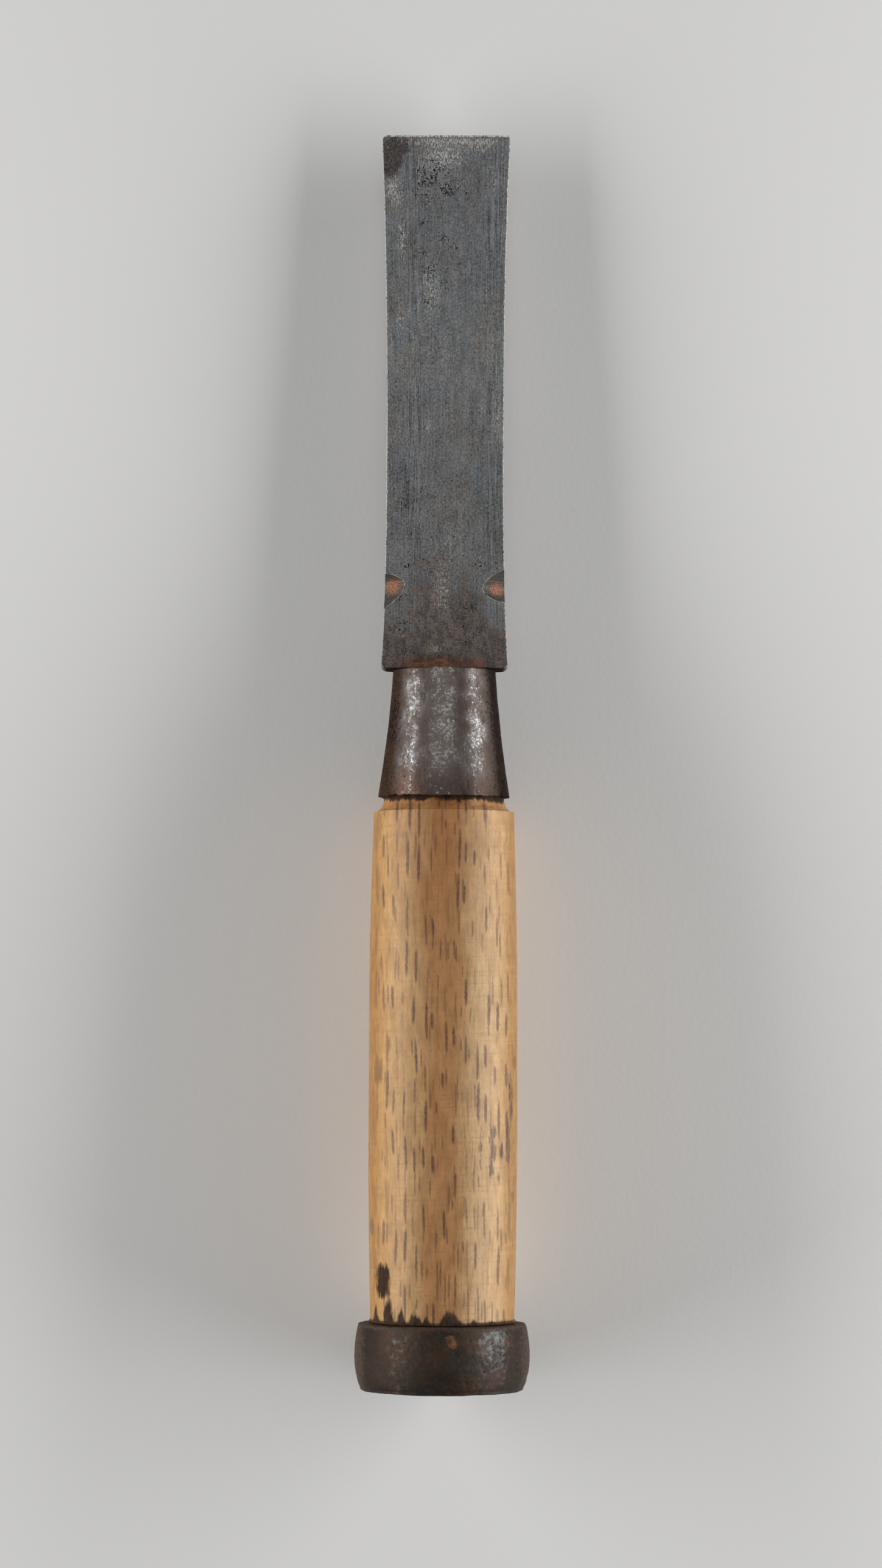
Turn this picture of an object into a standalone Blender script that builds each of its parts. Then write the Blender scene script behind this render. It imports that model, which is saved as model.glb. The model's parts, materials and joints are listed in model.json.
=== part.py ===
"""Struck mortise chisel: laminated blade with a tang, tapered ferrule, turned oak handle and striking hoop.

The tool is modelled upright in its own frame: its axis is Z, the striking end is at Z = 0, the cutting
edge is at the top and the flat back faces -Y. An empty then lays it down with the flat back upwards and
the cutting edge towards +Y, resting on the front shoulder of the handle and on the heel of the bevel.
"""

import math

import bmesh
import bpy

MM = 0.001

GAP = 0.3 * MM
TURN_STEPS = 48
MERGE = 0.01 * MM

LENGTH = 250.0 * MM

# Blade: heights are measured from the tool's axis towards the flat back.
SHOULDER_Z = 142.8 * MM
BACK_HEIGHT = 1.8 * MM
STEEL_THICKNESS = 2.2 * MM
STEEL_START_Z = 149.8 * MM
FRONT_DEPTH_HEEL = 7.2 * MM
FRONT_DEPTH_SHOULDER = 7.8 * MM
BEVEL_LENGTH = 14.0 * MM
EDGE_LAND = 0.25 * MM
WAIST_Z = 191.8 * MM
WAIST_HALF = 11.68 * MM
EDGE_HALF = 12.88 * MM
SHOULDER_HALF = 12.66 * MM
SHOULDER_CORNER = 1.2 * MM
EDGE_CORNER = 0.8 * MM
SIDE_POINTS = 16

# Notches: one in each long arris of the back, cut with a round tool held across the arris.
NOTCH_DROP_ANGLE = math.radians(50)
NOTCH_TOOL_LENGTH = 22.0 * MM
LEFT_NOTCH = {"z": 158.0 * MM, "radius": 3.4 * MM, "skew": math.radians(22)}
RIGHT_NOTCH = {"z": 159.3 * MM, "radius": 3.3 * MM, "skew": math.radians(-8)}

# Tang: a flat-sided taper, set a little towards the front so that its root stays under the flat back.
TANG_ROOT_Z = 147.0 * MM
TANG_POINT_Z = 76.0 * MM
TANG_ROOT_SIZE = (9.0 * MM, 5.8 * MM)
TANG_POINT_SCALE = 0.5
TANG_OFFSET = 1.2 * MM

FERRULE_TOP_Z = 142.5 * MM
FERRULE_MOUTH_Z = 117.1 * MM
FERRULE_TOP_RADIUS = 10.2 * MM
FERRULE_MOUTH_RADIUS = 13.1 * MM
FERRULE_STRAIGHT_SHARE = 0.57
FERRULE_TOP_WALL = 1.3 * MM
FERRULE_MOUTH_WALL = 1.1 * MM
FERRULE_RIM_ROUND = 0.35 * MM

HANDLE_NECK_RADIUS = 12.05 * MM
HANDLE_SHOULDER_Z = 114.2 * MM
HANDLE_SHOULDER_RADIUS = 14.08 * MM
HANDLE_BELLY_Z = 60.0 * MM
HANDLE_BELLY_RADIUS = 14.82 * MM
HANDLE_BUTT_RADIUS = 14.29 * MM
HANDLE_END_Z = 0.2 * MM
HANDLE_END_CHAMFER = 0.6 * MM

HOOP_LENGTH = 13.4 * MM
HOOP_BORE_RADIUS = 13.6 * MM
HOOP_BULGE_Z = 6.5 * MM
HOOP_BULGE_RADIUS = 17.4 * MM
HOOP_FRONT_RADIUS = 16.55 * MM
HOOP_END_RADIUS = 16.1 * MM
HOOP_CORNER = 0.5 * MM

# Attitude: the tool is heavy at the blade, so it rests on the handle's front shoulder and on the heel.
HEEL_Z = LENGTH - BEVEL_LENGTH
TILT = math.atan((HANDLE_SHOULDER_RADIUS - FRONT_DEPTH_HEEL) / (HEEL_Z - HANDLE_SHOULDER_Z))


def clear_scene():
    for item in list(bpy.data.objects):
        bpy.data.objects.remove(item, do_unlink=True)


def make_collection(name):
    collection = bpy.data.collections.new(name)
    bpy.context.scene.collection.children.link(collection)
    return collection


def make_material(name, color, metallic, roughness):
    material = bpy.data.materials.new(name)
    material.use_nodes = True
    shader = material.node_tree.nodes["Principled BSDF"]
    shader.inputs["Base Color"].default_value = (*color, 1.0)
    shader.inputs["Metallic"].default_value = metallic
    shader.inputs["Roughness"].default_value = roughness
    return material


def move_to(item, collection):
    for owner in list(item.users_collection):
        owner.objects.unlink(item)
    collection.objects.link(item)


def as_cutter(item, cutters):
    move_to(item, cutters)
    item.hide_render = True
    item.display_type = "WIRE"
    return item


def quadratic_between(start, end, share):
    """Value between start and end, where share is first slow and then fast."""
    return start + (end - start) * share**2


def ring_or_turned(name, profile, closed, collection, material):
    """Turned piece from (radius, z) points that run down its outer side."""
    last = len(profile) - 1
    edges = [(i, i + 1) for i in range(last)]
    if closed:
        edges.append((last, 0))
    mesh = bpy.data.meshes.new(name)
    mesh.from_pydata([(radius, 0.0, z) for radius, z in profile], edges, [])
    item = bpy.data.objects.new(name, mesh)
    collection.objects.link(item)
    item.data.materials.append(material)
    turn = item.modifiers.new("Turn", "SCREW")
    turn.axis = "Z"
    turn.steps = TURN_STEPS
    turn.render_steps = TURN_STEPS
    turn.use_merge_vertices = True
    turn.merge_threshold = MERGE
    turn.use_smooth_shade = True
    return item


def extruded(name, outline, thickness, rotation, y, collection):
    """Flat outline with a thickness, as a welded mesh: the outline is drawn in the object's own XY."""
    curve = bpy.data.curves.new(name + "_outline", "CURVE")
    curve.dimensions = "2D"
    curve.fill_mode = "BOTH"
    curve.extrude = thickness / 2
    spline = curve.splines.new("POLY")
    spline.points.add(len(outline) - 1)
    for point, (x, height) in zip(spline.points, outline):
        point.co = (x, height, 0.0, 1.0)
    spline.use_cyclic_u = True
    drawn = bpy.data.objects.new(name + "_outline", curve)
    drawn.rotation_euler = rotation
    drawn.location = (0.0, y, 0.0)
    collection.objects.link(drawn)
    graph = bpy.context.evaluated_depsgraph_get()
    mesh = bpy.data.meshes.new_from_object(drawn.evaluated_get(graph))
    mesh.name = name
    cleaner = bmesh.new()
    cleaner.from_mesh(mesh)
    bmesh.ops.remove_doubles(cleaner, verts=cleaner.verts, dist=MERGE)
    cleaner.to_mesh(mesh)
    cleaner.free()
    item = bpy.data.objects.new(name, mesh)
    item.matrix_world = drawn.matrix_world
    collection.objects.link(item)
    bpy.data.objects.remove(drawn, do_unlink=True)
    return item


def boolean(item, operation, other):
    cut = item.modifiers.new(operation.title() + "_" + other.name, "BOOLEAN")
    cut.operation = operation
    cut.object = other
    cut.solver = "EXACT"


def blade_half_width(z):
    """Hourglass plan of the blade: wide at the edge, narrow at the waist, wide at the shoulder."""
    if z > WAIST_Z:
        share = (z - WAIST_Z) / (LENGTH - WAIST_Z)
        return WAIST_HALF + (EDGE_HALF - WAIST_HALF) * share**2
    share = (WAIST_Z - z) / (WAIST_Z - SHOULDER_Z)
    return WAIST_HALF + (SHOULDER_HALF - WAIST_HALF) * share**3


def corner_arc(half, z, radius, start_angle):
    """Quarter circle in plan, from its start angle to a quarter turn further."""
    angles = [start_angle + math.radians(step) for step in (0, 30, 60, 90)]
    return [(half - radius + radius * math.cos(a), z + radius * math.sin(a)) for a in angles]


def blade_plan():
    first = SHOULDER_Z + 2 * SHOULDER_CORNER
    last = LENGTH - 2 * EDGE_CORNER
    right = corner_arc(SHOULDER_HALF, SHOULDER_Z + SHOULDER_CORNER, SHOULDER_CORNER, -math.pi / 2)
    for i in range(SIDE_POINTS):
        z = first + (last - first) * i / (SIDE_POINTS - 1)
        right.append((blade_half_width(z), z))
    right += corner_arc(EDGE_HALF, LENGTH - EDGE_CORNER, EDGE_CORNER, 0.0)
    return right + [(-x, z) for x, z in reversed(right)]


def bevel_z(height):
    """Where the bevel passes a height above the axis."""
    share = (height + FRONT_DEPTH_HEEL) / (BACK_HEIGHT - EDGE_LAND + FRONT_DEPTH_HEEL)
    return HEEL_Z + BEVEL_LENGTH * share


def steel_side():
    """Side outline of the hard steel plate, as (y, z) points."""
    under = BACK_HEIGHT - STEEL_THICKNESS
    return [
        (-BACK_HEIGHT, STEEL_START_Z),
        (-under, STEEL_START_Z),
        (-under, bevel_z(under)),
        (-BACK_HEIGHT + EDGE_LAND, LENGTH),
        (-BACK_HEIGHT, LENGTH),
    ]


def body_side():
    """Side outline of the soft iron: full depth at the shoulder, rebated for the steel beyond it."""
    seat = BACK_HEIGHT - STEEL_THICKNESS - GAP
    return [
        (-BACK_HEIGHT, SHOULDER_Z),
        (FRONT_DEPTH_SHOULDER, SHOULDER_Z),
        (FRONT_DEPTH_HEEL, HEEL_Z),
        (-seat, bevel_z(seat)),
        (-seat, STEEL_START_Z - GAP),
        (-BACK_HEIGHT, STEEL_START_Z - GAP),
    ]


def notch_cutter(name, side, notch, cutters):
    """Round tool lying across one arris of the back: it falls outwards and is skewed in plan."""
    bpy.ops.mesh.primitive_cylinder_add(
        vertices=32,
        radius=notch["radius"],
        depth=NOTCH_TOOL_LENGTH,
        location=(side * blade_half_width(notch["z"]), -BACK_HEIGHT, notch["z"]),
        rotation=(0.0, math.pi / 2, 0.0),
    )
    item = bpy.context.active_object
    item.name = name
    item.rotation_euler = (0.0, math.pi / 2 + side * notch["skew"], side * NOTCH_DROP_ANGLE)
    return as_cutter(item, cutters)


def tang_solid(name, grow, cutters):
    """Four-sided taper along the axis; grow widens it on every side."""
    depth = TANG_ROOT_Z - TANG_POINT_Z + grow
    root_width, root_thickness = TANG_ROOT_SIZE
    root_half = root_width / 2 + grow
    point_half = root_width / 2 * TANG_POINT_SCALE + grow
    bpy.ops.mesh.primitive_cone_add(
        vertices=4,
        radius1=point_half * math.sqrt(2),
        radius2=root_half * math.sqrt(2),
        depth=depth,
        location=(0.0, TANG_OFFSET, TANG_ROOT_Z - depth / 2),
        rotation=(0.0, 0.0, math.pi / 4),
    )
    item = bpy.context.active_object
    item.name = name
    bpy.ops.object.transform_apply(location=False, rotation=True, scale=True)
    item.scale = (1.0, (root_thickness / 2 + grow) / root_half, 1.0)
    bpy.ops.object.transform_apply(location=False, rotation=False, scale=True)
    return as_cutter(item, cutters)


def make_blade(collection, cutters):
    across = (math.pi / 2, 0.0, math.pi / 2)
    width = 4 * WAIST_HALF
    plan = extruded("blade_plan", blade_plan(), 40 * MM, (math.pi / 2, 0.0, 0.0), 0.0, cutters)
    as_cutter(plan, cutters)
    notches = [
        notch_cutter("left_notch", -1, LEFT_NOTCH, cutters),
        notch_cutter("right_notch", 1, RIGHT_NOTCH, cutters),
    ]
    tang = tang_solid("tang", 0.0, cutters)

    steel = extruded("cutting_steel", steel_side(), width, across, 0.0, collection)
    steel.data.materials.append(make_material("hard_steel", (0.19, 0.19, 0.20), 1.0, 0.42))
    body = extruded("blade_body", body_side(), width, across, 0.0, collection)
    body.data.materials.append(make_material("soft_iron", (0.14, 0.11, 0.09), 0.9, 0.6))
    for item in (steel, body):
        boolean(item, "INTERSECT", plan)
        for notch in notches:
            boolean(item, "DIFFERENCE", notch)
    boolean(body, "UNION", tang)
    return [steel, body]


def ferrule_radius(z):
    """Outside of the ferrule: a cone that flares a little more towards its mouth."""
    share = (FERRULE_TOP_Z - z) / (FERRULE_TOP_Z - FERRULE_MOUTH_Z)
    flare = FERRULE_STRAIGHT_SHARE * share + (1 - FERRULE_STRAIGHT_SHARE) * share**2
    return FERRULE_TOP_RADIUS + (FERRULE_MOUTH_RADIUS - FERRULE_TOP_RADIUS) * flare


def ferrule_bore(z):
    share = (FERRULE_TOP_Z - z) / (FERRULE_TOP_Z - FERRULE_MOUTH_Z)
    wall = FERRULE_TOP_WALL + (FERRULE_MOUTH_WALL - FERRULE_TOP_WALL) * share
    return ferrule_radius(z) - wall


def levels(top, bottom, count):
    return [top + (bottom - top) * i / (count - 1) for i in range(count)]


def make_ferrule(collection):
    outside = [(FERRULE_TOP_RADIUS - FERRULE_RIM_ROUND, FERRULE_TOP_Z)]
    outside += [
        (ferrule_radius(z), z)
        for z in levels(FERRULE_TOP_Z - FERRULE_RIM_ROUND, FERRULE_MOUTH_Z, 6)
    ]
    inside = [(ferrule_bore(z), z) for z in levels(FERRULE_MOUTH_Z, FERRULE_TOP_Z, 5)]
    patina = make_material("ferrule_patina", (0.16, 0.13, 0.11), 0.9, 0.5)
    return ring_or_turned("ferrule", outside + inside, True, collection, patina)


def belly_radius(z):
    """Long barrel of the handle between its shoulder and the hoop."""
    if z > HANDLE_BELLY_Z:
        share = (z - HANDLE_BELLY_Z) / (HANDLE_SHOULDER_Z - HANDLE_BELLY_Z)
        return quadratic_between(HANDLE_BELLY_RADIUS, HANDLE_SHOULDER_RADIUS, share)
    share = (HANDLE_BELLY_Z - z) / (HANDLE_BELLY_Z - HOOP_LENGTH)
    return quadratic_between(HANDLE_BELLY_RADIUS, HANDLE_BUTT_RADIUS, share)


def handle_profile():
    cone_top = FERRULE_TOP_Z - GAP
    neck_z = FERRULE_MOUTH_Z - GAP
    cone = [(ferrule_bore(z) - GAP, z) for z in levels(cone_top, FERRULE_MOUTH_Z, 5)]
    cone.append((ferrule_bore(FERRULE_MOUTH_Z) - GAP, neck_z))
    cove_depth = neck_z - HANDLE_SHOULDER_Z
    cove_rise = HANDLE_SHOULDER_RADIUS - HANDLE_NECK_RADIUS
    cove = []
    for angle in (math.radians(step) for step in (0, 22, 45, 68, 90)):
        radius = HANDLE_SHOULDER_RADIUS - cove_rise * math.cos(angle)
        cove.append((radius, neck_z - cove_depth * math.sin(angle)))
    butt_z = HOOP_LENGTH + GAP
    belly = [(belly_radius(z), z) for z in levels(HANDLE_SHOULDER_Z - 0.2 * MM, butt_z, 12)]
    tenon_radius = HOOP_BORE_RADIUS - GAP
    end = [
        (tenon_radius, butt_z),
        (tenon_radius, HANDLE_END_Z + HANDLE_END_CHAMFER),
        (tenon_radius - HANDLE_END_CHAMFER, HANDLE_END_Z),
        (0.0, HANDLE_END_Z),
    ]
    return [(0.0, cone_top)] + cone + cove + belly + end


def make_handle(collection, cutters):
    oak = make_material("oak", (0.42, 0.25, 0.13), 0.0, 0.6)
    handle = ring_or_turned("handle", handle_profile(), False, collection, oak)
    pocket = tang_solid("tang_pocket", GAP, cutters)
    boolean(handle, "DIFFERENCE", pocket)
    return handle


def hoop_radius(z):
    """Barrelled outside of the hoop, fullest a little below its middle."""
    if z > HOOP_BULGE_Z:
        share = (z - HOOP_BULGE_Z) / (HOOP_LENGTH - HOOP_BULGE_Z)
        return quadratic_between(HOOP_BULGE_RADIUS, HOOP_FRONT_RADIUS, share)
    share = (HOOP_BULGE_Z - z) / HOOP_BULGE_Z
    return quadratic_between(HOOP_BULGE_RADIUS, HOOP_END_RADIUS, share)


def make_hoop(collection):
    outside = [(HOOP_FRONT_RADIUS - HOOP_CORNER, HOOP_LENGTH)]
    outside += [(hoop_radius(z), z) for z in levels(HOOP_LENGTH - HOOP_CORNER, HOOP_BULGE_Z, 5)]
    outside += [(hoop_radius(z), z) for z in levels(HOOP_BULGE_Z, HOOP_CORNER, 5)[1:]]
    outside.append((HOOP_END_RADIUS - HOOP_CORNER, 0.0))
    inside = [
        (HOOP_BORE_RADIUS + HOOP_CORNER, 0.0),
        (HOOP_BORE_RADIUS, HOOP_CORNER),
        (HOOP_BORE_RADIUS, HOOP_LENGTH),
    ]
    scale = make_material("hoop_scale", (0.09, 0.07, 0.06), 0.8, 0.55)
    return ring_or_turned("hoop", outside + inside, True, collection, scale)


def lay_down(pieces, collection):
    """Stand everything on the ground, centred on the length of the whole tool."""
    root = bpy.data.objects.new("tool_axis", None)
    collection.objects.link(root)
    sine = math.sin(TILT)
    cosine = math.cos(TILT)
    far_y = LENGTH * cosine + BACK_HEIGHT * sine
    near_y = -(HOOP_END_RADIUS - HOOP_CORNER) * sine
    axis_height = HANDLE_SHOULDER_RADIUS * cosine + HANDLE_SHOULDER_Z * sine
    root.location = (0.0, -(far_y + near_y) / 2, axis_height)
    root.rotation_euler = (-math.pi / 2 - TILT, 0.0, 0.0)
    for piece in pieces:
        piece.parent = root


def main():
    clear_scene()
    chisel = make_collection("mortise_chisel")
    cutters = make_collection("cutters")
    pieces = make_blade(chisel, cutters)
    pieces.append(make_ferrule(chisel))
    pieces.append(make_handle(chisel, cutters))
    pieces.append(make_hoop(chisel))
    lay_down(pieces + list(cutters.objects), chisel)


main()
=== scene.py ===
"""Looks of the struck mortise chisel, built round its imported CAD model.

Shapes are made in the tool's own frame, in millimetres, as (across, along, up): across the blade, along the
axis from the striking end, and up from the axis towards the flat back. The record's mounts say where that
frame lies. Each fine mesh stands for one CAD node and touches its neighbours where the real pieces do.
"""

import json
import math
from itertools import product

import bpy
import numpy as np
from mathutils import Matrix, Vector
from mathutils.kdtree import KDTree


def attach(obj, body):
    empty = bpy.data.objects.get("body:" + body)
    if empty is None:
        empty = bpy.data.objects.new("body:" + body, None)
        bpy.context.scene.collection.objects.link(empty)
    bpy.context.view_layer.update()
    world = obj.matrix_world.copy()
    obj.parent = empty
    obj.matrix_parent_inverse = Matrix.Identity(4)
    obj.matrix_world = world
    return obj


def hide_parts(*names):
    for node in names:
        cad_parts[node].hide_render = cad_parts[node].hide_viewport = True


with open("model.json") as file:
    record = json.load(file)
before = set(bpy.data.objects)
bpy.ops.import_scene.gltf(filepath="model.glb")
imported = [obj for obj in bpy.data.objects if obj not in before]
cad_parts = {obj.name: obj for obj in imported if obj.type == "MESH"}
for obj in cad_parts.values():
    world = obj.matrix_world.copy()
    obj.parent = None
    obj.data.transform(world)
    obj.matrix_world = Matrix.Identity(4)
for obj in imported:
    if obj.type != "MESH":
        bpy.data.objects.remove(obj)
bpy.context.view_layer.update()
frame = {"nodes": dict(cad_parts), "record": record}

MM = 0.001

# ---- the tool's frame

MOUNTS = {mount["name"]: mount for mount in frame["record"]["mounts"]}
END_RECESS = 0.2
ALONG = -np.array(MOUNTS["striking_end"]["axis"])
UP = np.array(MOUNTS["blade_back"]["axis"])
ACROSS = np.cross(ALONG, UP)
ORIGIN = np.array(MOUNTS["striking_end"]["pos_m"]) / MM - END_RECESS * ALONG
TO_ROW = np.array([ACROSS, ALONG, UP])


def to_row(points):
    """Tool frame in millimetres to the row's frame in metres."""
    return (np.asarray(points) @ TO_ROW + ORIGIN) * MM


def to_tool(points):
    return (np.asarray(points) / MM - ORIGIN) @ TO_ROW.T


def triples(x, s, h):
    """Points, or three-part values, from arrays or single numbers."""
    return np.stack(np.broadcast_arrays(x, s, h), axis=-1)


def read(items, field, kind=np.float32):
    """The three numbers that each item of a mesh keeps in one field."""
    values = np.zeros(len(items) * 3, kind)
    items.foreach_get(field, values)
    return values.reshape(-1, 3)


def tool_points(item):
    return to_tool(read(item.data.vertices, "co").astype(float))


def cad_points(node):
    return tool_points(frame["nodes"][node])


BACK = to_tool([MOUNTS["blade_back"]["pos_m"]])[0][2]


# ---- curves and noise


def ease(value, low, high):
    """Smooth step from 0 at low to 1 at high."""
    t = unit((value - low) / (high - low))
    return t * t * (3 - 2 * t)


def unit(value):
    return np.clip(value, 0, 1)


def bump(value, centre, width):
    """Bell of height 1."""
    return np.exp(-(((value - centre) / width) ** 2))


def smooth_curve(stations, values):
    """Cubic curve through values at rising stations."""
    stations, values = np.asarray(stations, float), np.asarray(values, float)
    slopes = np.gradient(values, stations)

    def curve(at):
        at = np.clip(np.asarray(at, float), stations[0], stations[-1])
        i = np.clip(np.searchsorted(stations, at) - 1, 0, len(stations) - 2)
        step = stations[i + 1] - stations[i]
        t = (at - stations[i]) / step
        return (
            (2 * t**3 - 3 * t**2 + 1) * values[i]
            + (t**3 - 2 * t**2 + t) * step * slopes[i]
            + (3 * t**2 - 2 * t**3) * values[i + 1]
            + (t**3 - t**2) * step * slopes[i + 1]
        )

    return curve


def cad_reach(node, along, height, side=1):
    """How far from the axis a ray from one side first meets a CAD node, at one level and height."""
    start = Vector(to_row([[side * 60, along, height]])[0])
    heading = Vector(-side * ACROSS)
    place = frame["nodes"][node].ray_cast(start, heading)[1]
    return abs(to_tool([place])[0][0])


def reach_curve(node, low, high, height=0, count=40):
    """Curve of a CAD node's reach to the side between two levels."""
    levels = np.linspace(low, high, count)
    return smooth_curve(levels, [cad_reach(node, level, height) for level in levels])


def lattice(x, y, z, seed):
    """Repeatable value from 0 to 1 at whole-number points."""
    n = (x * 73856093) ^ (y * 19349663) ^ (z * 83492791) ^ (seed * 374761393)
    n = (n ^ (n >> 13)) * 1274126177
    n = (n ^ (n >> 15)) * 668265263
    return ((n ^ (n >> 16)) & 0xFFFF) / 65535


def noise(points, size, seed):
    """Smooth noise from -1 to 1, with features of one size or of a size for each axis."""
    p = np.asarray(points, float) / size
    cell = np.floor(p).astype(np.int64)
    f = p - cell
    f = f * f * (3 - 2 * f)
    total = np.zeros(p.shape[:-1])
    for corner in product((0, 1), repeat=3):
        weight = np.prod(np.where(corner, f, 1 - f), axis=-1)
        x, y, z = (cell[..., axis] + corner[axis] for axis in range(3))
        total += weight * lattice(x, y, z, seed)
    return total * 2 - 1


def fractal(points, size, seed, octaves=3):
    size = np.asarray(size, float)
    total = sum(noise(points, size / 2**i, seed + 17 * i) / 2**i for i in range(octaves))
    return total / (2 - 2 ** (1 - octaves))


# ---- meshes


def add_object(name, data):
    item = bpy.data.objects.new(name, data)
    bpy.context.scene.collection.objects.link(item)
    return item


def face_out(mesh):
    """Turn a mesh's faces out, if its signed volume says that they face in."""
    mesh.calc_loop_triangles()
    corners = read(mesh.loop_triangles, "vertices", np.int32)
    a, b, c = np.moveaxis(read(mesh.vertices, "co").astype(float)[corners], 1, 0)
    if np.sum(a * np.cross(b, c)) < 0:
        mesh.flip_normals()


def lofted(name, rings, end="loop"):
    """Mesh through rings of points, each ring closed. end is loop, flat, or pole for a point at each end."""
    rings = np.asarray(rings, float)
    count, around = rings.shape[:2]
    grid = np.arange(count * around).reshape(count, around)
    if end == "loop":
        grid = np.vstack([grid, grid[0]])
    following = np.roll(grid, -1, axis=1)
    corners = [grid[:-1], following[:-1], following[1:], grid[1:]]
    faces = np.stack(corners, axis=-1).reshape(-1, 4).tolist()
    points = rings.reshape(-1, 3)
    first, last = grid[0].tolist(), grid[-1].tolist()
    if end == "flat":
        faces += [first[::-1], last]
    if end == "pole":
        pole = len(points)
        points = np.vstack([points, rings[0].mean(axis=0), rings[-1].mean(axis=0)])
        faces += [[pole, b, a] for a, b in zip(first, following[0].tolist())]
        faces += [[pole + 1, a, b] for a, b in zip(last, following[-1].tolist())]
    mesh = bpy.data.meshes.new(name)
    mesh.from_pydata(to_row(points).tolist(), [], faces)
    mesh.validate()
    face_out(mesh)
    return add_object(name, mesh)


def cut(item, operation, tools):
    """Apply one Boolean for each tool."""
    for tool in tools:
        modifier = item.modifiers.new(tool.name, "BOOLEAN")
        modifier.operation = operation
        modifier.object = tool
        modifier.solver = "EXACT"
        modifier.material_mode = "TRANSFER"
    graph = bpy.context.evaluated_depsgraph_get()
    mesh = bpy.data.meshes.new_from_object(item.evaluated_get(graph))
    item.modifiers.clear()
    old = item.data
    item.data = mesh
    bpy.data.meshes.remove(old)


def store(item, **layers):
    """Keep numbers or vectors for each vertex, for the materials to read."""
    for name, values in layers.items():
        values = np.asarray(values, np.float32)
        kind, field = ("FLOAT_VECTOR", "vector") if values.ndim == 2 else ("FLOAT", "value")
        layer = item.data.attributes.new(name, kind, "POINT")
        layer.data.foreach_set(field, values.ravel())


SHARP = math.radians(35)


def settle(item, node):
    """Places for the materials, smooth shading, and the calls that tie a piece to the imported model."""
    store(item, tool=tool_points(item))
    item.data.shade_smooth()
    item.data.set_sharp_from_angle(angle=SHARP)
    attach(item, "root")
    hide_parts(node)


# ---- turned pieces


def profile(*parts):
    """Two coordinates of an outline, from parts that give both, as arrays or as one number."""
    return np.hstack([np.broadcast_arrays(*part) for part in parts])


def round_axis(radius, level, angle):
    return triples(radius * np.sin(angle), level, radius * np.cos(angle))


def turned(outline, around, shape):
    """Rings of a turned piece: its outline, worn by shape(radius, level, angle, points)."""
    radius, angle = np.meshgrid(outline[0], np.arange(around) * 2 * math.pi / around, indexing="ij")
    level = np.repeat(outline[1][:, None], around, axis=1)
    radius, level = shape(radius, level, angle, round_axis(radius, level, angle))
    return round_axis(radius, level, angle)


def near(angle, degrees, width):
    """Bell round a place on the axis, both in degrees; 0 is up and 90 is the right side."""
    return bump((np.degrees(angle) - degrees + 180) % 360 - 180, 0, width)


FERRULE = cad_points("ferrule")
FERRULE_LOW, FERRULE_TOP = FERRULE[:, 1].min(), FERRULE[:, 1].max()
FERRULE_OUT = reach_curve("ferrule", FERRULE_LOW + 0.05, FERRULE_TOP - 0.4)
FERRULE_WALL = 1.15
FERRULE_LIP = 0.3
FERRULE_AROUND = 420
FERRULE_CONE = (117.1, 142.5, 13, 10.2)  # levels of its ends, and its radius at each


def ferrule_shape(radius, level, angle, points):
    outside = radius > FERRULE_OUT(level) - 0.6
    low = ease(level, FERRULE_LOW + 2.2, FERRULE_LOW)
    circle = triples(points[..., 0], 0, points[..., 2])
    ragged = 0.28 * fractal(circle, 3.2, 5, 4) + 0.1 * noise(circle, 0.7, 6)
    burr = 0.35 * near(angle, -62, 5) - 0.25 * near(angle, -48, 4)
    level = level + low * (ragged - burr)
    swell = 0.07 * fractal(points, (9, 7, 9), 1, 2) + 0.025 * fractal(points, 1.6, 2)
    sides = ease(np.abs(points[..., 0]) / np.maximum(radius, 1), 0.78, 0.95)
    pits = ease(fractal(points, (0.9, 1.1, 0.9), 3, 2), 0.22, 0.5) * (0.18 * sides + 0.03)
    lip = 0.12 * bump(level, FERRULE_LOW, 0.7) * (0.5 + noise(circle, 1.8, 8))
    return np.where(outside, radius + swell - pits + lip, radius), level


def make_ferrule():
    lip_start = FERRULE_TOP - FERRULE_LIP
    outside = np.linspace(lip_start, FERRULE_LOW + 0.12, 120)
    inside = np.linspace(FERRULE_LOW + 0.15, FERRULE_TOP - 0.1, 14)
    turn = np.radians([80, 60, 40, 20])
    rim = FERRULE_OUT(lip_start) - FERRULE_LIP
    mouth = FERRULE_OUT(FERRULE_LOW)
    outline = profile(
        ([rim - 0.4, rim - 0.15], FERRULE_TOP),
        (rim + FERRULE_LIP * np.cos(turn), lip_start + FERRULE_LIP * np.sin(turn)),
        (FERRULE_OUT(outside), outside),
        ([mouth - 0.12, mouth - 0.5, mouth - FERRULE_WALL + 0.15], FERRULE_LOW),
        (FERRULE_OUT(inside) - FERRULE_WALL, inside),
    )
    return lofted("ferrule_steel", turned(outline, FERRULE_AROUND, ferrule_shape))


HOOP = cad_points("hoop")
HOOP_END, HOOP_FRONT = HOOP[:, 1].min(), HOOP[:, 1].max()
HOOP_OUT = reach_curve("hoop", HOOP_END + 0.6, HOOP_FRONT - 0.6)
HOOP_BORE = 13.45
HOOP_CORNER = 0.3
HOOP_SLOPE = 0.12
HOOP_AROUND = 440
HOOP_MOST = HOOP_OUT(np.linspace(HOOP_END, HOOP_FRONT, 60)).max()


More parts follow.
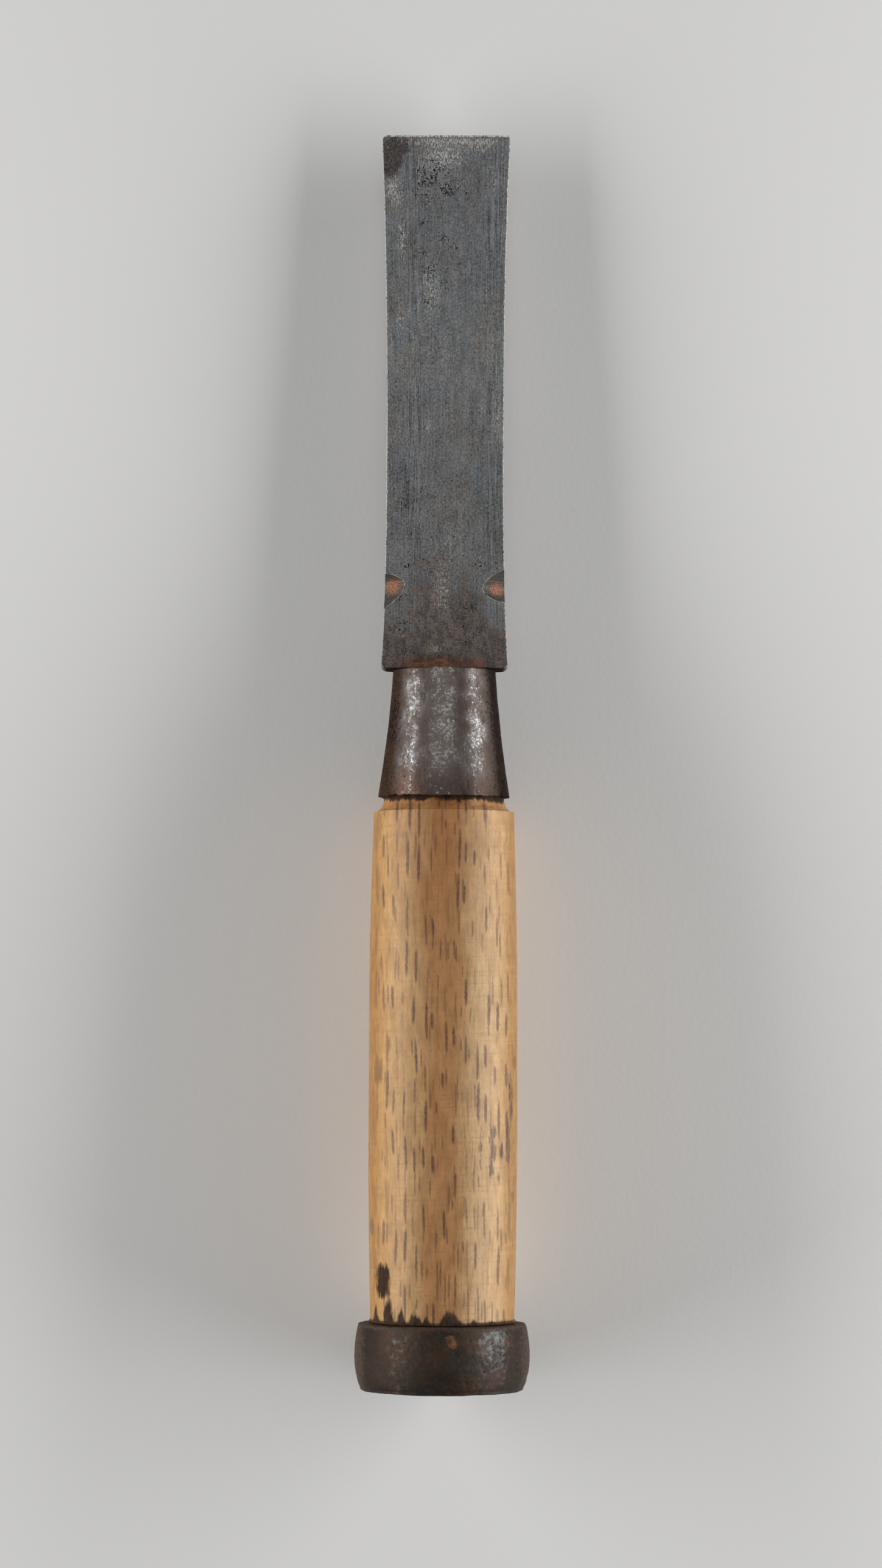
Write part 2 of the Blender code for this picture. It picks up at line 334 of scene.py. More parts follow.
def hoop_shape(radius, level, angle, points):
    outside = ease(radius, HOOP_BORE + 0.9, HOOP_BORE + 2.2)
    circle = triples(points[..., 0], 0, points[..., 2])
    swell = 0.1 * fractal(points, (11, 7, 11), 11, 2) + 0.03 * fractal(points, 2, 12)
    hollows = 0.14 * ease(fractal(points, (4, 3, 4), 13, 2), 0.35, 0.8)
    pits = 0.07 * ease(fractal(points, 0.9, 14, 2), 0.35, 0.65) + 0.06
    front = ease(level, HOOP_FRONT - 1, HOOP_FRONT - 0.1)
    rear = ease(level, HOOP_END + 1.4, HOOP_END)
    corner = front * (0.03 + 0.12 * fractal(circle, 5, 15) + 0.12 * near(angle, 75, 22))
    peened = rear * (0.1 + 0.22 * fractal(circle, 3.5, 16))
    crust = 0.07 * front * fractal(points, 0.8, 19)
    worn = swell - hollows - pits - unit(corner) - np.clip(peened, -0.1, 1) + crust
    radius = radius + outside * worn
    beaten = rear * (0.12 + 0.12 * fractal(circle, 4, 17))
    dulled = front * (0.1 + 0.1 * fractal(points, 1.5, 18))
    return np.minimum(radius, HOOP_MOST), level + beaten - dulled


def make_hoop():
    outside = np.linspace(HOOP_FRONT - HOOP_SLOPE - HOOP_CORNER, HOOP_END + HOOP_CORNER, 64)
    turn = np.radians(np.linspace(90, 0, 8)[1:-1])
    wide, high = HOOP_CORNER * np.cos(turn), HOOP_CORNER * np.sin(turn)
    front, rear = (HOOP_OUT(level) - HOOP_CORNER for level in (outside[0], outside[-1]))
    outline = profile(
        (np.linspace(HOOP_BORE + 0.15, front, 12), np.linspace(HOOP_FRONT, HOOP_FRONT - HOOP_SLOPE, 12)),
        (front + wide, outside[0] + high),
        (HOOP_OUT(outside), outside),
        (rear + wide[::-1], outside[-1] - high[::-1]),
        (np.linspace(rear, HOOP_BORE + 0.3, 10), HOOP_END),
        (HOOP_BORE, [HOOP_END + 0.4, HOOP_END + 6, HOOP_FRONT - 0.15]),
    )
    return lofted("striking_hoop", turned(outline, HOOP_AROUND, hoop_shape))


TANG_ROOT, TANG_POINT = 147, 76
TANG_HALF = (4.5, 2.9)
TANG_DROP = -1.2


def tang_ring(s, grow, around):
    """Section of the tang at one level: a rectangle with rounded corners, half as big at the point."""
    scale = 0.5 + 0.5 * (s - TANG_POINT) / (TANG_ROOT - TANG_POINT)
    angle = np.arange(around) * 2 * math.pi / around
    across, up = np.sin(angle), np.cos(angle)
    wide, tall = TANG_HALF[0] * scale + grow, TANG_HALF[1] * scale + grow
    reach = ((np.abs(across) / wide) ** 8 + (np.abs(up) / tall) ** 8) ** -0.125
    return triples(reach * across, s, TANG_DROP + reach * up)


def make_tang():
    rings = [tang_ring(s, 0, 64) for s in np.linspace(TANG_POINT + 0.1, TANG_ROOT, 30)]
    return lofted("tang_tool", rings, "flat")


SHOULDER = 114.2
NECK = FERRULE_LOW - 0.1
BELLY_LOW = HOOP_FRONT + 0.1
BELLY = reach_curve("handle", HOOP_FRONT + 0.4, SHOULDER - 0.05)
HANDLE_AROUND = 288


def handle_shape(radius, level, angle, points):
    grip = ease(radius, 11.5, 12.2) * ease(level, HOOP_FRONT - 0.2, HOOP_FRONT + 0.6)
    swell = 0.06 * fractal(points, (12, 40, 12), 21, 2) + 0.022 * fractal(points, (0.9, 40, 0.9), 22, 2)
    flats = 0.16 * (near(angle, 88, 9) + near(angle, -90, 10))
    flats = flats * (0.5 + 0.5 * noise(points, (50, 22, 50), 23))
    dents = 0.18 * ease(fractal(points, (6, 9, 6), 24, 2), 0.5, 0.8)
    torn = bump(level, SHOULDER + 0.6, 1.5) * ease(fractal(points, (0.55, 9, 0.55), 25, 2), 0, 0.6)
    torn = torn * (0.12 + 0.25 * near(angle, 62, 22))
    by_hoop = ease(level, HOOP_FRONT + 0.9, HOOP_FRONT + 0.1)
    crust = 0.18 + 0.3 * fractal(points, (1.1, 1.5, 1.1), 28) + 0.35 * near(angle, 77, 6)
    crust = ease(radius, 12, 13) * unit(by_hoop * crust)
    beaten = 0.14 * fractal(points, 2.2, 26) + 0.1 * noise(points, 6, 27)
    return radius + grip * (swell - flats - dents - torn) + crust, level + ease(level, 1.5, 0.3) * beaten


def make_handle():
    cone = np.linspace(FERRULE_TOP - 0.35, FERRULE_LOW + 0.3, 14)
    cone_radii = FERRULE_OUT(cone) - FERRULE_WALL - 0.03
    neck = FERRULE_OUT(FERRULE_LOW) - FERRULE_WALL + 0.06
    arris = BELLY(SHOULDER)
    sweep = np.linspace(0, math.pi / 2, 16)
    belly = np.linspace(SHOULDER - 0.12, BELLY_LOW, 272)
    tenon = HOOP_BORE - 0.03
    outline = profile(
        (np.linspace(7, cone_radii[0] - 0.3, 4), cone[0]),
        (cone_radii, cone),
        (arris - (arris - neck) * np.cos(sweep), NECK - (NECK - SHOULDER) * np.sin(sweep)),
        (BELLY(belly), belly),
        (tenon, np.linspace(BELLY_LOW, 1, 4)),
        ([tenon - 0.2], 0.45),
        (np.linspace(tenon - 0.5, 0.6, 34), END_RECESS),
    )
    rings = turned(outline, HANDLE_AROUND, handle_shape)
    pocket = [tang_ring(s, 0.02, HANDLE_AROUND) for s in np.linspace(TANG_POINT, cone[0], 24)]
    return lofted("oak_handle", np.concatenate([pocket, rings]), "pole")


# ---- the blade

STEEL = cad_points("cutting_steel")
BODY = cad_points("blade_body")
EDGE = STEEL[:, 1].max()
BLADE_LOW = BODY[(np.abs(BODY[:, 0]) > 10)][:, 1].min()
BEVEL_LENGTH = 14
HEEL = EDGE - BEVEL_LENGTH
FRONT_AT_SHOULDER = BODY[:, 2].min()
FRONT_AT_HEEL = BODY[:, 2][np.abs(BODY[:, 1] - HEEL) < 0.1].min()
STEEL_START = STEEL[:, 1].min() - 0.15
SEAM = STEEL[:, 2].min() - 0.15
LAND = 0.25
SHOULDER_CORNER = 1.2
EDGE_CORNER = {-1: 1.15, 1: 0.75}
BACK_COLUMNS = 150
SHOULDER_HALF = 12.6
PLAN_HALF = 12


def plan_curve():
    """Half width of the blade: of its body below the edge's bevel, and of its steel from there on."""
    body = np.linspace(BLADE_LOW + 1.4, HEEL - 0.5, 30)
    steel = np.linspace(HEEL + 2, EDGE - 1.2, 6)
    widths = [cad_reach("blade_body", s, FRONT_AT_HEEL + 1.2) for s in body]
    widths += [cad_reach("cutting_steel", s, BACK - 0.3) for s in steel]
    first = widths[0] + (widths[0] - widths[1]) / (body[1] - body[0]) * (body[0] - BLADE_LOW)
    last = widths[-1] + (widths[-1] - widths[-2]) / (steel[-1] - steel[-2]) * (EDGE - steel[-1])
    return smooth_curve([BLADE_LOW, *body, *steel, EDGE], [first, *widths, last])


HALF_WIDTH = plan_curve()


def side_reach(along, side):
    """Half width with the rounded corners of the shoulder and of the cutting end."""
    reach = HALF_WIDTH(along)
    low = unit((BLADE_LOW + SHOULDER_CORNER - along) / SHOULDER_CORNER)
    reach = reach - SHOULDER_CORNER * (1 - np.sqrt(1 - low**2))
    corner = EDGE_CORNER[side]
    high = unit((along - EDGE + corner) / corner)
    return reach - corner * (1 - np.sqrt(np.clip(1 - high**2, 0.02, 1)))


def bevel_height(along):
    """Height of the bevel's plane; it is lowest at the heel."""
    share = (along - HEEL) / (EDGE - HEEL)
    return FRONT_AT_HEEL + (BACK - LAND - FRONT_AT_HEEL) * share


def front_height(along):
    share = (along - BLADE_LOW) / (HEEL - BLADE_LOW)
    face = FRONT_AT_SHOULDER + (FRONT_AT_HEEL - FRONT_AT_SHOULDER) * share
    return np.where(along > HEEL, bevel_height(along), face)


def section(along, top, under, arris, chamfer, rows, under_columns):
    """Closed section of the blade at one level, from the left end of its top round to its left side."""
    right, left = side_reach(along, 1), side_reach(along, -1)
    turn = np.radians([22, 45, 68])
    wide, high = arris * np.sin(turn), top - arris + arris * np.cos(turn)
    side = np.linspace(top - arris, under + chamfer, rows)
    half = chamfer * 0.5
    x, h = profile(
        (np.linspace(-left + arris, right - arris, BACK_COLUMNS), top),
        (right - arris + wide, high),
        (right, side),
        ([right - half], under + half),
        (np.linspace(right - chamfer, -left + chamfer, under_columns), under),
        ([-left + half], under + half),
        (-left, side[::-1]),
        (-left + arris - wide[::-1], high[::-1]),
    )
    return triples(x, along, h)


def spots(x, s, places):
    """Sum of soft ellipses: (across, along, half width, half length, strength)."""
    total = 0 * x
    for across, along, half_width, half_length, strength in places:
        reach = ((x - across) / half_width) ** 2 + ((s - along) / half_length) ** 2
        total = total + strength * np.exp(-reach)
    return total


PITTED = [
    (-3.3, 245, 2.2, 0.9, 0.95), (-5.4, 242.7, 1.1, 1.1, 0.95), (-0.8, 243.2, 1.7, 0.9, 0.8),
    (-2.8, 240.8, 1.7, 2.1, 1), (-5, 240.2, 1.1, 1.3, 0.85), (-3.8, 237.2, 1.5, 1.5, 0.95),
    (0.9, 239, 1.3, 1.2, 0.9), (-0.2, 237.6, 0.8, 0.7, 0.8), (-8.6, 238.8, 1.4, 1.6, 0.7),
    (1.6, 240, 5.4, 5.5, 0.32), (-4.6, 232.4, 0.8, 0.8, 0.8), (-0.8, 229.3, 1.1, 1.1, 0.85),
    (1, 227.2, 1.1, 0.9, 0.9), (-4.4, 226.6, 1.6, 0.8, 1.1), (-3.2, 222.8, 1.8, 1.8, 0.8),
    (-1, 219.6, 1.4, 1.3, 0.85), (-3.8, 216.4, 1.2, 1.1, 0.9), (-2, 228, 5, 14, 0.25),
    (-3, 206, 4.5, 7, 0.25), (9, 216, 2, 5, 0.3),
    (-8.8, 179, 2.2, 8, 0.65), (-1, 171, 6, 7, 0.35), (3, 184, 5, 12, 0.12),
    (-7.8, 163.5, 1.6, 0.9, 1), (7, 164, 1.7, 0.8, 0.9), (-3.2, 162, 2.2, 0.9, 0.7),
    (-8.2, 157.2, 1.7, 1.2, 0.95), (-9, 151.4, 2.1, 1.7, 1), (-8, 146.4, 1.8, 0.9, 0.9),
    (5.2, 154.6, 1.4, 1.2, 1), (3.8, 151.3, 1.1, 1, 1), (7.2, 150.6, 1.3, 1.5, 0.9),
    (4.6, 148.1, 1.7, 0.8, 0.85), (0, 190, 11, 50, 0.06),
]
BROWNED = [
    (-10.9, 246.2, 2.2, 3.2, 1.3), (-8.6, 247.8, 1.8, 1.4, 0.8), (-11.6, 243, 1.5, 1.6, 1),
    (10.6, 218, 1, 4, 0.45), (-1, 164, 5, 5, 0.45),
]
RUSTED = [
    (-0.8, 143.2, 5.4, 2.4, 1), (-6.5, 143.2, 3.4, 1.7, 0.8), (5.8, 143.2, 3.4, 1.5, 0.7),
    (-1, 143.4, 1.6, 1.5, 0.8),
]
FROSTED = [
    (-0.6, 245.6, 4.6, 3, 0.85), (-3.8, 248.9, 8, 0.9, 0.6), (6, 248.9, 6, 0.8, 0.6),
    (7, 247.6, 2.2, 1.2, 0.7), (-10.4, 238.8, 1.8, 3.2, 0.9), (-8.8, 229, 1, 6, 0.6),
    (-3, 219, 2, 6, 0.6), (-9, 212, 1.4, 5, 0.5), (-0.8, 158, 2.2, 5.4, 0.55),
    (-1.6, 146.6, 3, 1.2, 0.5), (9.6, 241, 1.4, 5, 0.4), (-8.4, 149.4, 1.4, 0.6, 0.5),
    (1, 168, 6, 6, 0.35), (10.4, 193, 1, 6, 0.5), (-3.4, 191, 1.4, 1.6, 0.4),
]
BLUED = [
    (-3, 232, 3, 3, 0.6), (-8.8, 210, 2.4, 4, 0.8), (7.2, 181, 3.2, 5, 0.7),
    (-1, 211.4, 2, 1.8, 0.7), (4.2, 206.2, 2.2, 3.4, 0.7), (-3, 197.6, 2.6, 2.4, 0.6),
    (-7.2, 183, 2.8, 3, 0.6), (8.8, 154.4, 2.2, 3.4, 0.6), (-9.6, 155, 1.8, 3.2, 0.5),
    (-7.6, 145.9, 2, 0.7, 0.9),
]


def pit_density(x, s):
    """How thick the corrosion pits lie: clusters, broken into clumps."""
    plan = triples(x, s, 0)
    clumps = 0.95 + 0.4 * noise(plan, (1.5, 1.2, 1), 51)
    return np.clip(spots(x, s, PITTED) * clumps, 0, 1.15)


def pit_depth(x, s):
    """Depth of the corrosion pits, which are a little wider than they are long."""
    plan = triples(x, s, 0)
    rough = 0.45 * noise(plan, (0.46, 0.34, 1), 52) + 0.55 * noise(plan, (0.3, 0.26, 1), 53)
    floor_level = 0.78 - 0.4 * pit_density(x, s)
    return 0.1 * ease(rough, floor_level, floor_level + 0.2)


EDGE_NICKS = [(-7.1, 0.5, 0.24), (-1.2, 0.45, 0.22), (5.8, 0.6, 0.18), (-9.9, 0.7, 0.15), (9.6, 0.5, 0.14)]


def wear_blade(rings):
    """Wear the sections: uneven faces, pits in the back, chipped arrises and a nicked edge."""
    rings = np.asarray(rings, float)
    x, s, h = rings[..., 0], rings[..., 1], rings[..., 2]
    reach = np.where(x > 0, side_reach(s, 1), side_reach(s, -1))
    on_top = ease(h, BACK - 0.12, BACK - 0.02)
    on_side = ease(np.abs(x), reach - 0.35, reach - 0.05)
    on_front = (1 - on_side) * (h < SEAM - 0.02)
    plan = triples(x, s, 0)
    fall = 0.035 * fractal(plan, (9, 16, 1), 31, 2) + 0.012 * fractal(plan, (1.3, 4, 1), 32, 2)
    worn = 0.035 * ease(np.abs(x), reach - 0.9, reach) + 0.05 * ease(s, EDGE - 1.2, EDGE)
    h = h - on_top * (pit_depth(x, s) + 0.03 + fall + worn)
    line = triples(np.sign(x) * 7, s, 0)
    chips = 0.1 * ease(fractal(line, (1, 1.1, 1), 33), 0.1, 0.75)
    chips = chips * ease(h, BACK - 0.9, BACK - 0.1)
    rough = 0.03 + 0.03 * fractal(rings, 3, 34)
    x = x - np.sign(x) * on_side * (rough + chips)
    scale = 0.06 + 0.06 * fractal(rings, (7, 9, 7), 35, 2) + 0.03 * fractal(rings, 1.6, 36, 2)
    honed = ease(s, HEEL - 0.3, HEEL + 0.3)
    h = h + on_front * scale * (1 - 0.85 * honed)
    nick = 0.03 + 0.03 * fractal(plan, (2.2, 99, 1), 37)
    for place, width, depth in EDGE_NICKS:
        nick = nick + depth * bump(x, place, width)
    s = s - ease(s, EDGE - 2, EDGE) * nick
    return triples(x, s, h)


def make_steel():
    fine = np.linspace(STEEL_START, EDGE - 3.6, 470)
    tip = EDGE - 3.4 * (1 - np.linspace(0, 1, 30) ** 0.8)
    rings = []
    for s in [*fine, *tip]:
        under = max(SEAM, bevel_height(s))
        thickness = BACK - under
        arris, chamfer = min(0.14, thickness * 0.3), min(0.04, thickness * 0.1)
        rings.append(section(s, BACK, under, arris, chamfer, 8, 22))
    return lofted("cutting_steel_plate", wear_blade(rings), "flat")


def make_body():
    shoulder = BLADE_LOW + np.array([0, 0.06, 0.2, 0.45])
    insets = dict(zip(shoulder, [0.45, 0.22, 0.06, 0]))
    bare = np.linspace(shoulder[-1] + 0.25, STEEL_START - 0.01, 30)
    clad = np.linspace(STEEL_START + 0.01, HEEL - 0.3, 230)
    seam_end = HEEL + (SEAM - FRONT_AT_HEEL) / (BACK - LAND - FRONT_AT_HEEL) * (EDGE - HEEL)
    bevel = [HEEL - 0.08, HEEL + 0.08, *np.linspace(HEEL + 0.3, seam_end - 0.1, 36)]
    rings = []
    for s in [*shoulder, *bare, *clad, *bevel]:
        top, arris = (BACK, 0.14) if s < STEEL_START else (SEAM, 0.02)
        under = front_height(s)
        thickness = top - under
        ring = section(s, top, under, min(arris, thickness * 0.2), min(0.8, thickness * 0.25), 20, 60)
        if s in insets:
            middle = (top + under) / 2
            ring[:, 0] *= 1 - insets[s] / SHOULDER_HALF
            ring[:, 2] = middle + (ring[:, 2] - middle) * (1 - insets[s] * 2 / thickness)
        rings.append(ring)
    return lofted("blade_iron", wear_blade(rings), "flat")


# level and depth of the deepest point, then reach, power and roundness towards the edge and the handle
NOTCHES = {
    -1: (159.5, 4, {1: (2.2, 2, 0.55), -1: (4.9, 1.75, 1.15)}),
    1: (159, 4.5, {1: (3.8, 1.6, 0.95), -1: (2.85, 2, 0.6)}),
}
NOTCH_LEVEL = 159
NOTCH_FALL = math.radians(50)


def notch_outline(side):
    """Outline of one notch in the plane of the back, with the teeth that its round file left."""
    deepest, depth, ends = NOTCHES[side]
    s = np.linspace(deepest - ends[-1][0], deepest + ends[1][0], 150)
    for end, (reach, power, roundness) in ends.items():
        depth = depth * (1 - unit(end * (s - deepest) / reach) ** power) ** roundness
    line = triples(s, side, 0)
    teeth = 0.04 * noise(line, (0.24, 1, 1), 41) + 0.025 * noise(line, (0.11, 1, 1), 42)
    teeth = teeth + 0.05 * np.abs(noise(line, (0.6, 1, 1), 43))
    return s, np.maximum(depth - teeth * ease(depth, 0, 0.8), 0)


def make_notch_tool(side):
    """The notch as a prism that runs from above the back, down and outwards through the side."""
    s, depth = notch_outline(side)
    edge = HALF_WIDTH(NOTCH_LEVEL)
    x = side * np.array([edge + 4, *(edge - depth), edge + 4])
    s = np.array([s[0], *s, s[-1]])
    rings = []
    for reach in [-3, *np.linspace(-0.2, 8, 48), 12]:
        out, down = reach * math.cos(NOTCH_FALL), reach * math.sin(NOTCH_FALL)
        wall = triples(x + side * out, s, BACK - down)
        wall[1:-1, 0] += side * 0.035 * fractal(wall[1:-1], 0.5, 44, 2)
        rings.append(wall)
    return lofted("notch_tool", rings, "flat")


# ---- materials


class Value:
    """Output of a shader node. Arithmetic with it adds math nodes."""

    def __init__(self, graph, socket):
        self.graph, self.socket = graph, socket

    def __abs__(self):
        return self.graph.math("ABSOLUTE", self)


for sign, operation in (("add", "ADD"), ("sub", "SUBTRACT"), ("mul", "MULTIPLY"), ("truediv", "DIVIDE")):
    setattr(Value, f"__{sign}__", lambda a, b, kind=operation: a.graph.math(kind, a, b))
    setattr(Value, f"__r{sign}__", lambda a, b, kind=operation: a.graph.math(kind, b, a))


class Graph:
    """A material, and short names for the shader nodes that it is made of."""

    def __init__(self, name):
        self.material = bpy.data.materials.new(name)
        self.material.use_nodes = True
        self.nodes = self.material.node_tree.nodes

    def fill(self, node, inputs):
        for key, value in inputs.items():
            socket = node.inputs[key]
            if isinstance(value, Value):
                self.material.node_tree.links.new(value.socket, socket)
            else:
                socket.default_value = (*value, 1) if socket.type == "RGBA" else value

    def add(self, kind, inputs, **settings):
        """Add a node, and give its outputs in their order."""
        node = self.nodes.new("ShaderNode" + kind)
        for key, value in settings.items():
            setattr(node, key, value)
        self.fill(node, inputs)
        return [Value(self, socket) for socket in node.outputs]

    def vector(self, name):
        return self.add("Attribute", {}, attribute_name=name)[1]

    def number(self, name):
        return self.add("Attribute", {}, attribute_name=name)[2]

    def split(self, vector):
        return self.add("SeparateXYZ", {0: vector})

    def join(self, x, y, z=0):
        return self.add("CombineXYZ", {0: x, 1: y, 2: z})[0]

    def math(self, operation, a, b=0):
        return self.add("Math", {0: a, 1: b}, operation=operation)[0]

    def noise(self, vector, scale=1, roughness=0.5, detail=3):
        """Noise from 0 to 1, at one scale or at one for each axis."""
        if isinstance(scale, tuple):
            vector = self.add("VectorMath", {0: vector, 1: scale}, operation="MULTIPLY")[0]
            scale = 1
        inputs = {"Vector": vector, "Scale": scale, "Detail": detail, "Roughness": roughness}
        return self.add("TexNoise", inputs)[0]

    def finish(self, color, roughness, metallic, relief, specular=0.5):
        """The finished material. Its relief is one bump over another: (height, full depth in mm)."""
        normal = {}
        for height, depth in relief:
            inputs = {"Height": height, "Strength": 1, "Distance": depth * MM, **normal}
            normal = {"Normal": self.add("Bump", inputs)[0]}
        inputs = {"Base Color": color, "Roughness": roughness, "Metallic": metallic, **normal}
        self.fill(self.nodes["Principled BSDF"], {**inputs, "Specular IOR Level": specular})
        return self.material


def ramp(value, low, high, start=0, stop=1, kind="SMOOTHSTEP"):
    """Smooth change from start to stop as value goes from low to high."""
    inputs = {"Value": value, "From Min": low, "From Max": high, "To Min": start, "To Max": stop}
    return value.graph.add("MapRange", inputs, interpolation_type=kind)[0]


def blend(share, a, b):
    return share.graph.add("Mix", {0: share, 2: a, 3: b}, data_type="FLOAT")[0]


def mix(share, a, b, **settings):
    return share.graph.add("Mix", {0: share, 6: a, 7: b}, data_type="RGBA", **settings)[2]


def tint(share, color, factor):
    """Multiply a color by a factor for each channel, as far as share says."""
    return mix(share, color, factor, blend_type="MULTIPLY")


def most(first, *others):
    for other in others:
        first = first.graph.math("MAXIMUM", first, other)
    return first


def steel_material():
    """Old tool steel: grey, scratched lengthwise, pitted, and browner towards the shoulder."""
    g = Graph("worn_steel")
    place = g.vector("tool")
    plan = g.vector("plan")
    pitted, brown, rust = g.split(g.vector("stain"))
    frost, blue, rim = g.split(g.vector("wear"))
    back = g.number("back")
    iron = g.number("iron") * (1 - back)
    across, along, _ = g.split(plan)
    honed = ramp(along, HEEL - 0.1, HEEL + 0.2) * (1 - back)
    honed = honed * ramp(abs(across), PLAN_HALF - 0.1, PLAN_HALF - 0.4)
    grain = g.noise(place, 6.2, 0.75)
    speck = g.noise(place, (3.4, 1.9, 3.4), 0.7)
    scratch = g.noise(plan, (4, 0.08, 4), 0.7)
    short = g.noise(plan, (8, 0.7, 8), 0.65, 2)
    cloud = g.noise(place, (0.22, 0.13, 0.22), 0.65, 4)
    patch = g.noise(place, (0.75, 0.38, 0.75), 0.65)
    left_lines = ramp(abs(across + 6.3), 2.6, 0.6)
    right_lines = ramp(abs(across - 9.8), 2.6, 0.8)
    lined = 0.45 + left_lines + 0.7 * right_lines + 0.3 * cloud
    lines = 0.8 * scratch + 0.35 * short - 0.575
    tone = 1.2 * grain + 1.05 * speck + lines * lined + 0.25 * cloud + 0.35 * patch
    color = mix(ramp(tone, 1.105, 1.745, kind="LINEAR"), (0.06, 0.062, 0.066), (0.6, 0.597, 0.594))
    color = tint(ramp(along, 205, 176), color, (0.83, 0.83, 0.83))
    color = tint(ramp(along, 206, 224), color, (0.91, 0.925, 0.945))
    forged = mix(ramp(grain + patch, 0.8, 1.2), (0.36, 0.33, 0.31), (0.86, 0.83, 0.8))
    color = tint(iron, color, forged)
    color = mix(0.6 * honed, color, mix(iron, (0.64, 0.645, 0.65), (0.36, 0.36, 0.355)))
    hue = g.noise(plan, (0.16, 0.09, 0.16), 0.6)
    color = tint(ramp(hue, 0.46, 0.6) * back, color, (1, 0.965, 0.925))
    blued = ramp(blue + patch, 0.7, 1.4)
    color = tint(blued * ramp(short, 0.3, 0.6, 0.7), color, (0.85, 0.95, 1.04))
    browned = ramp(brown + 0.7 * speck + 1.3 * patch, 1.22, 1.62)
    browner = mix(ramp(grain, 0.34, 0.68), (0.022, 0.016, 0.013), (0.33, 0.242, 0.2))
    corner = ramp(along, 232, 238)
    browner = tint(corner, browner, (0.62, 0.55, 0.54))
    browner = tint(ramp(patch, 0.54, 0.42), browner, (0.56, 0.58, 0.62))
    wrinkle = g.noise(plan, (1.5, 3.4, 1.5), 0.7)
    browner = tint(ramp(wrinkle, 0.5, 0.38), browner, (0.36, 0.35, 0.35))
    browner = tint(corner * ramp(speck, 0.56, 0.44), browner, (0.3, 0.29, 0.29))
    color = mix(0.85 * browned, color, browner)
    streak = g.noise(plan, (4.6, 1.5, 4.6), 0.7)
    frosted = ramp(streak + 0.14 * frost, 0.57, 0.7) * ramp(frost, 0.03, 0.5)
    sparkle = ramp(speck, 0.655, 0.72) * blend(brown, 0.35, 0.75)
    frosted = most(frosted * blend(brown, 0.85, 0.5), sparkle)
    cream = mix(ramp(grain, 0.35, 0.6), (0.42, 0.39, 0.34), (0.92, 0.87, 0.78))
    color = mix(frosted, color, cream)
    orange = mix(ramp(patch, 0.35, 0.7), (0.078, 0.038, 0.025), (0.26, 0.112, 0.058))
    orange = tint(ramp(grain, 0.55, 0.35), orange, (0.62, 0.6, 0.58))
    rusted = ramp(rust + 0.7 * speck + 0.5 * patch, 0.68, 1.48)
    color = mix(0.95 * rusted, color, orange)
    color = mix(0.5 * ramp(rust, 0.95, 1) * ramp(speck, 0.4, 0.6), color, (0.42, 0.17, 0.07))
    holes = g.noise(place, (2.7, 3.6, 2.7), 0.65)
    holes = ramp(holes + 0.11 * pitted, 0.622, 0.66) * blend(back, 0.4, 1)
    holes = most(holes, ramp(g.number("pit"), 0.2, 0.7))
    color = mix(0.95 * holes, color, (0.008, 0.007, 0.007))
    # Painted highlight: a broken cream line, dull and barely metallic, along the side arrises, the notches'
    # rims and the cutting edge, where these edges catch the light.
    arris = ramp(abs(across), PLAN_HALF - 0.2, PLAN_HALF - 0.07) * back
    lit = most(arris, ramp(rim + 0.9 * patch, 1.1, 1.45))
    arris = lit * ramp(speck, 0.38, 0.54)
    color = mix(0.8 * arris, color, (0.88, 0.83, 0.73))
    # Painted shade: the shoulder's end face by the ferrule is darkened and its specular taken away, as the
    # shadow it lies in.
    painted_shoulder_shade = ramp(along + 0.2 * speck, 143.15, 142.95)
    color = mix(0.9 * painted_shoulder_shade, color, (0.02, 0.014, 0.011))
    dull = most(painted_shoulder_shade, rusted, holes, 0.5 * browned)
    rough = 0.42 + 0.16 * grain + 0.24 * dull + 0.08 * iron - 0.14 * honed
    metal = 0.92 - 0.8 * most(dull, 0.7 * frosted, arris)
    relief = [(scratch, 0.009), (short, 0.01), (grain + speck * brown, 0.03), (1 - holes, 0.05)]
    return g.finish(color, rough, metal, relief, blend(most(holes, painted_shoulder_shade), 0.5, 0))


def notch_material():
    """Filed hollow: olive-grey cut metal with granular orange rust in its middle."""
    g = Graph("rusty_notch")
    place = g.vector("tool")
    rust = g.number("rust")
    grain = g.noise(place, 2.2, 0.65)
    fine = g.noise(place, 5, 0.6, 2)
    mask = ramp(rust + 1.1 * grain, 0.8, 1.45)
    color = mix(ramp(fine, 0.3, 0.7), (0.03, 0.027, 0.021), (0.12, 0.108, 0.088))
    rusty = mix(ramp(fine, 0.36, 0.62), (0.05, 0.022, 0.012), (0.42, 0.175, 0.095))
    color = mix(0.92 * mask, color, rusty)
    # Painted highlight: a cream line along the notch's rim, where its edge catches the light.
    rim = g.split(g.vector("wear"))[2]
    color = mix(0.5 * ramp(rim + 0.9 * grain, 1.15, 1.45), color, (0.6, 0.56, 0.47))
    relief = [(fine, 0.03), (grain, 0.06)]
    return g.finish(color, blend(mask, 0.55, 0.85), blend(mask, 0.6, 0), relief)


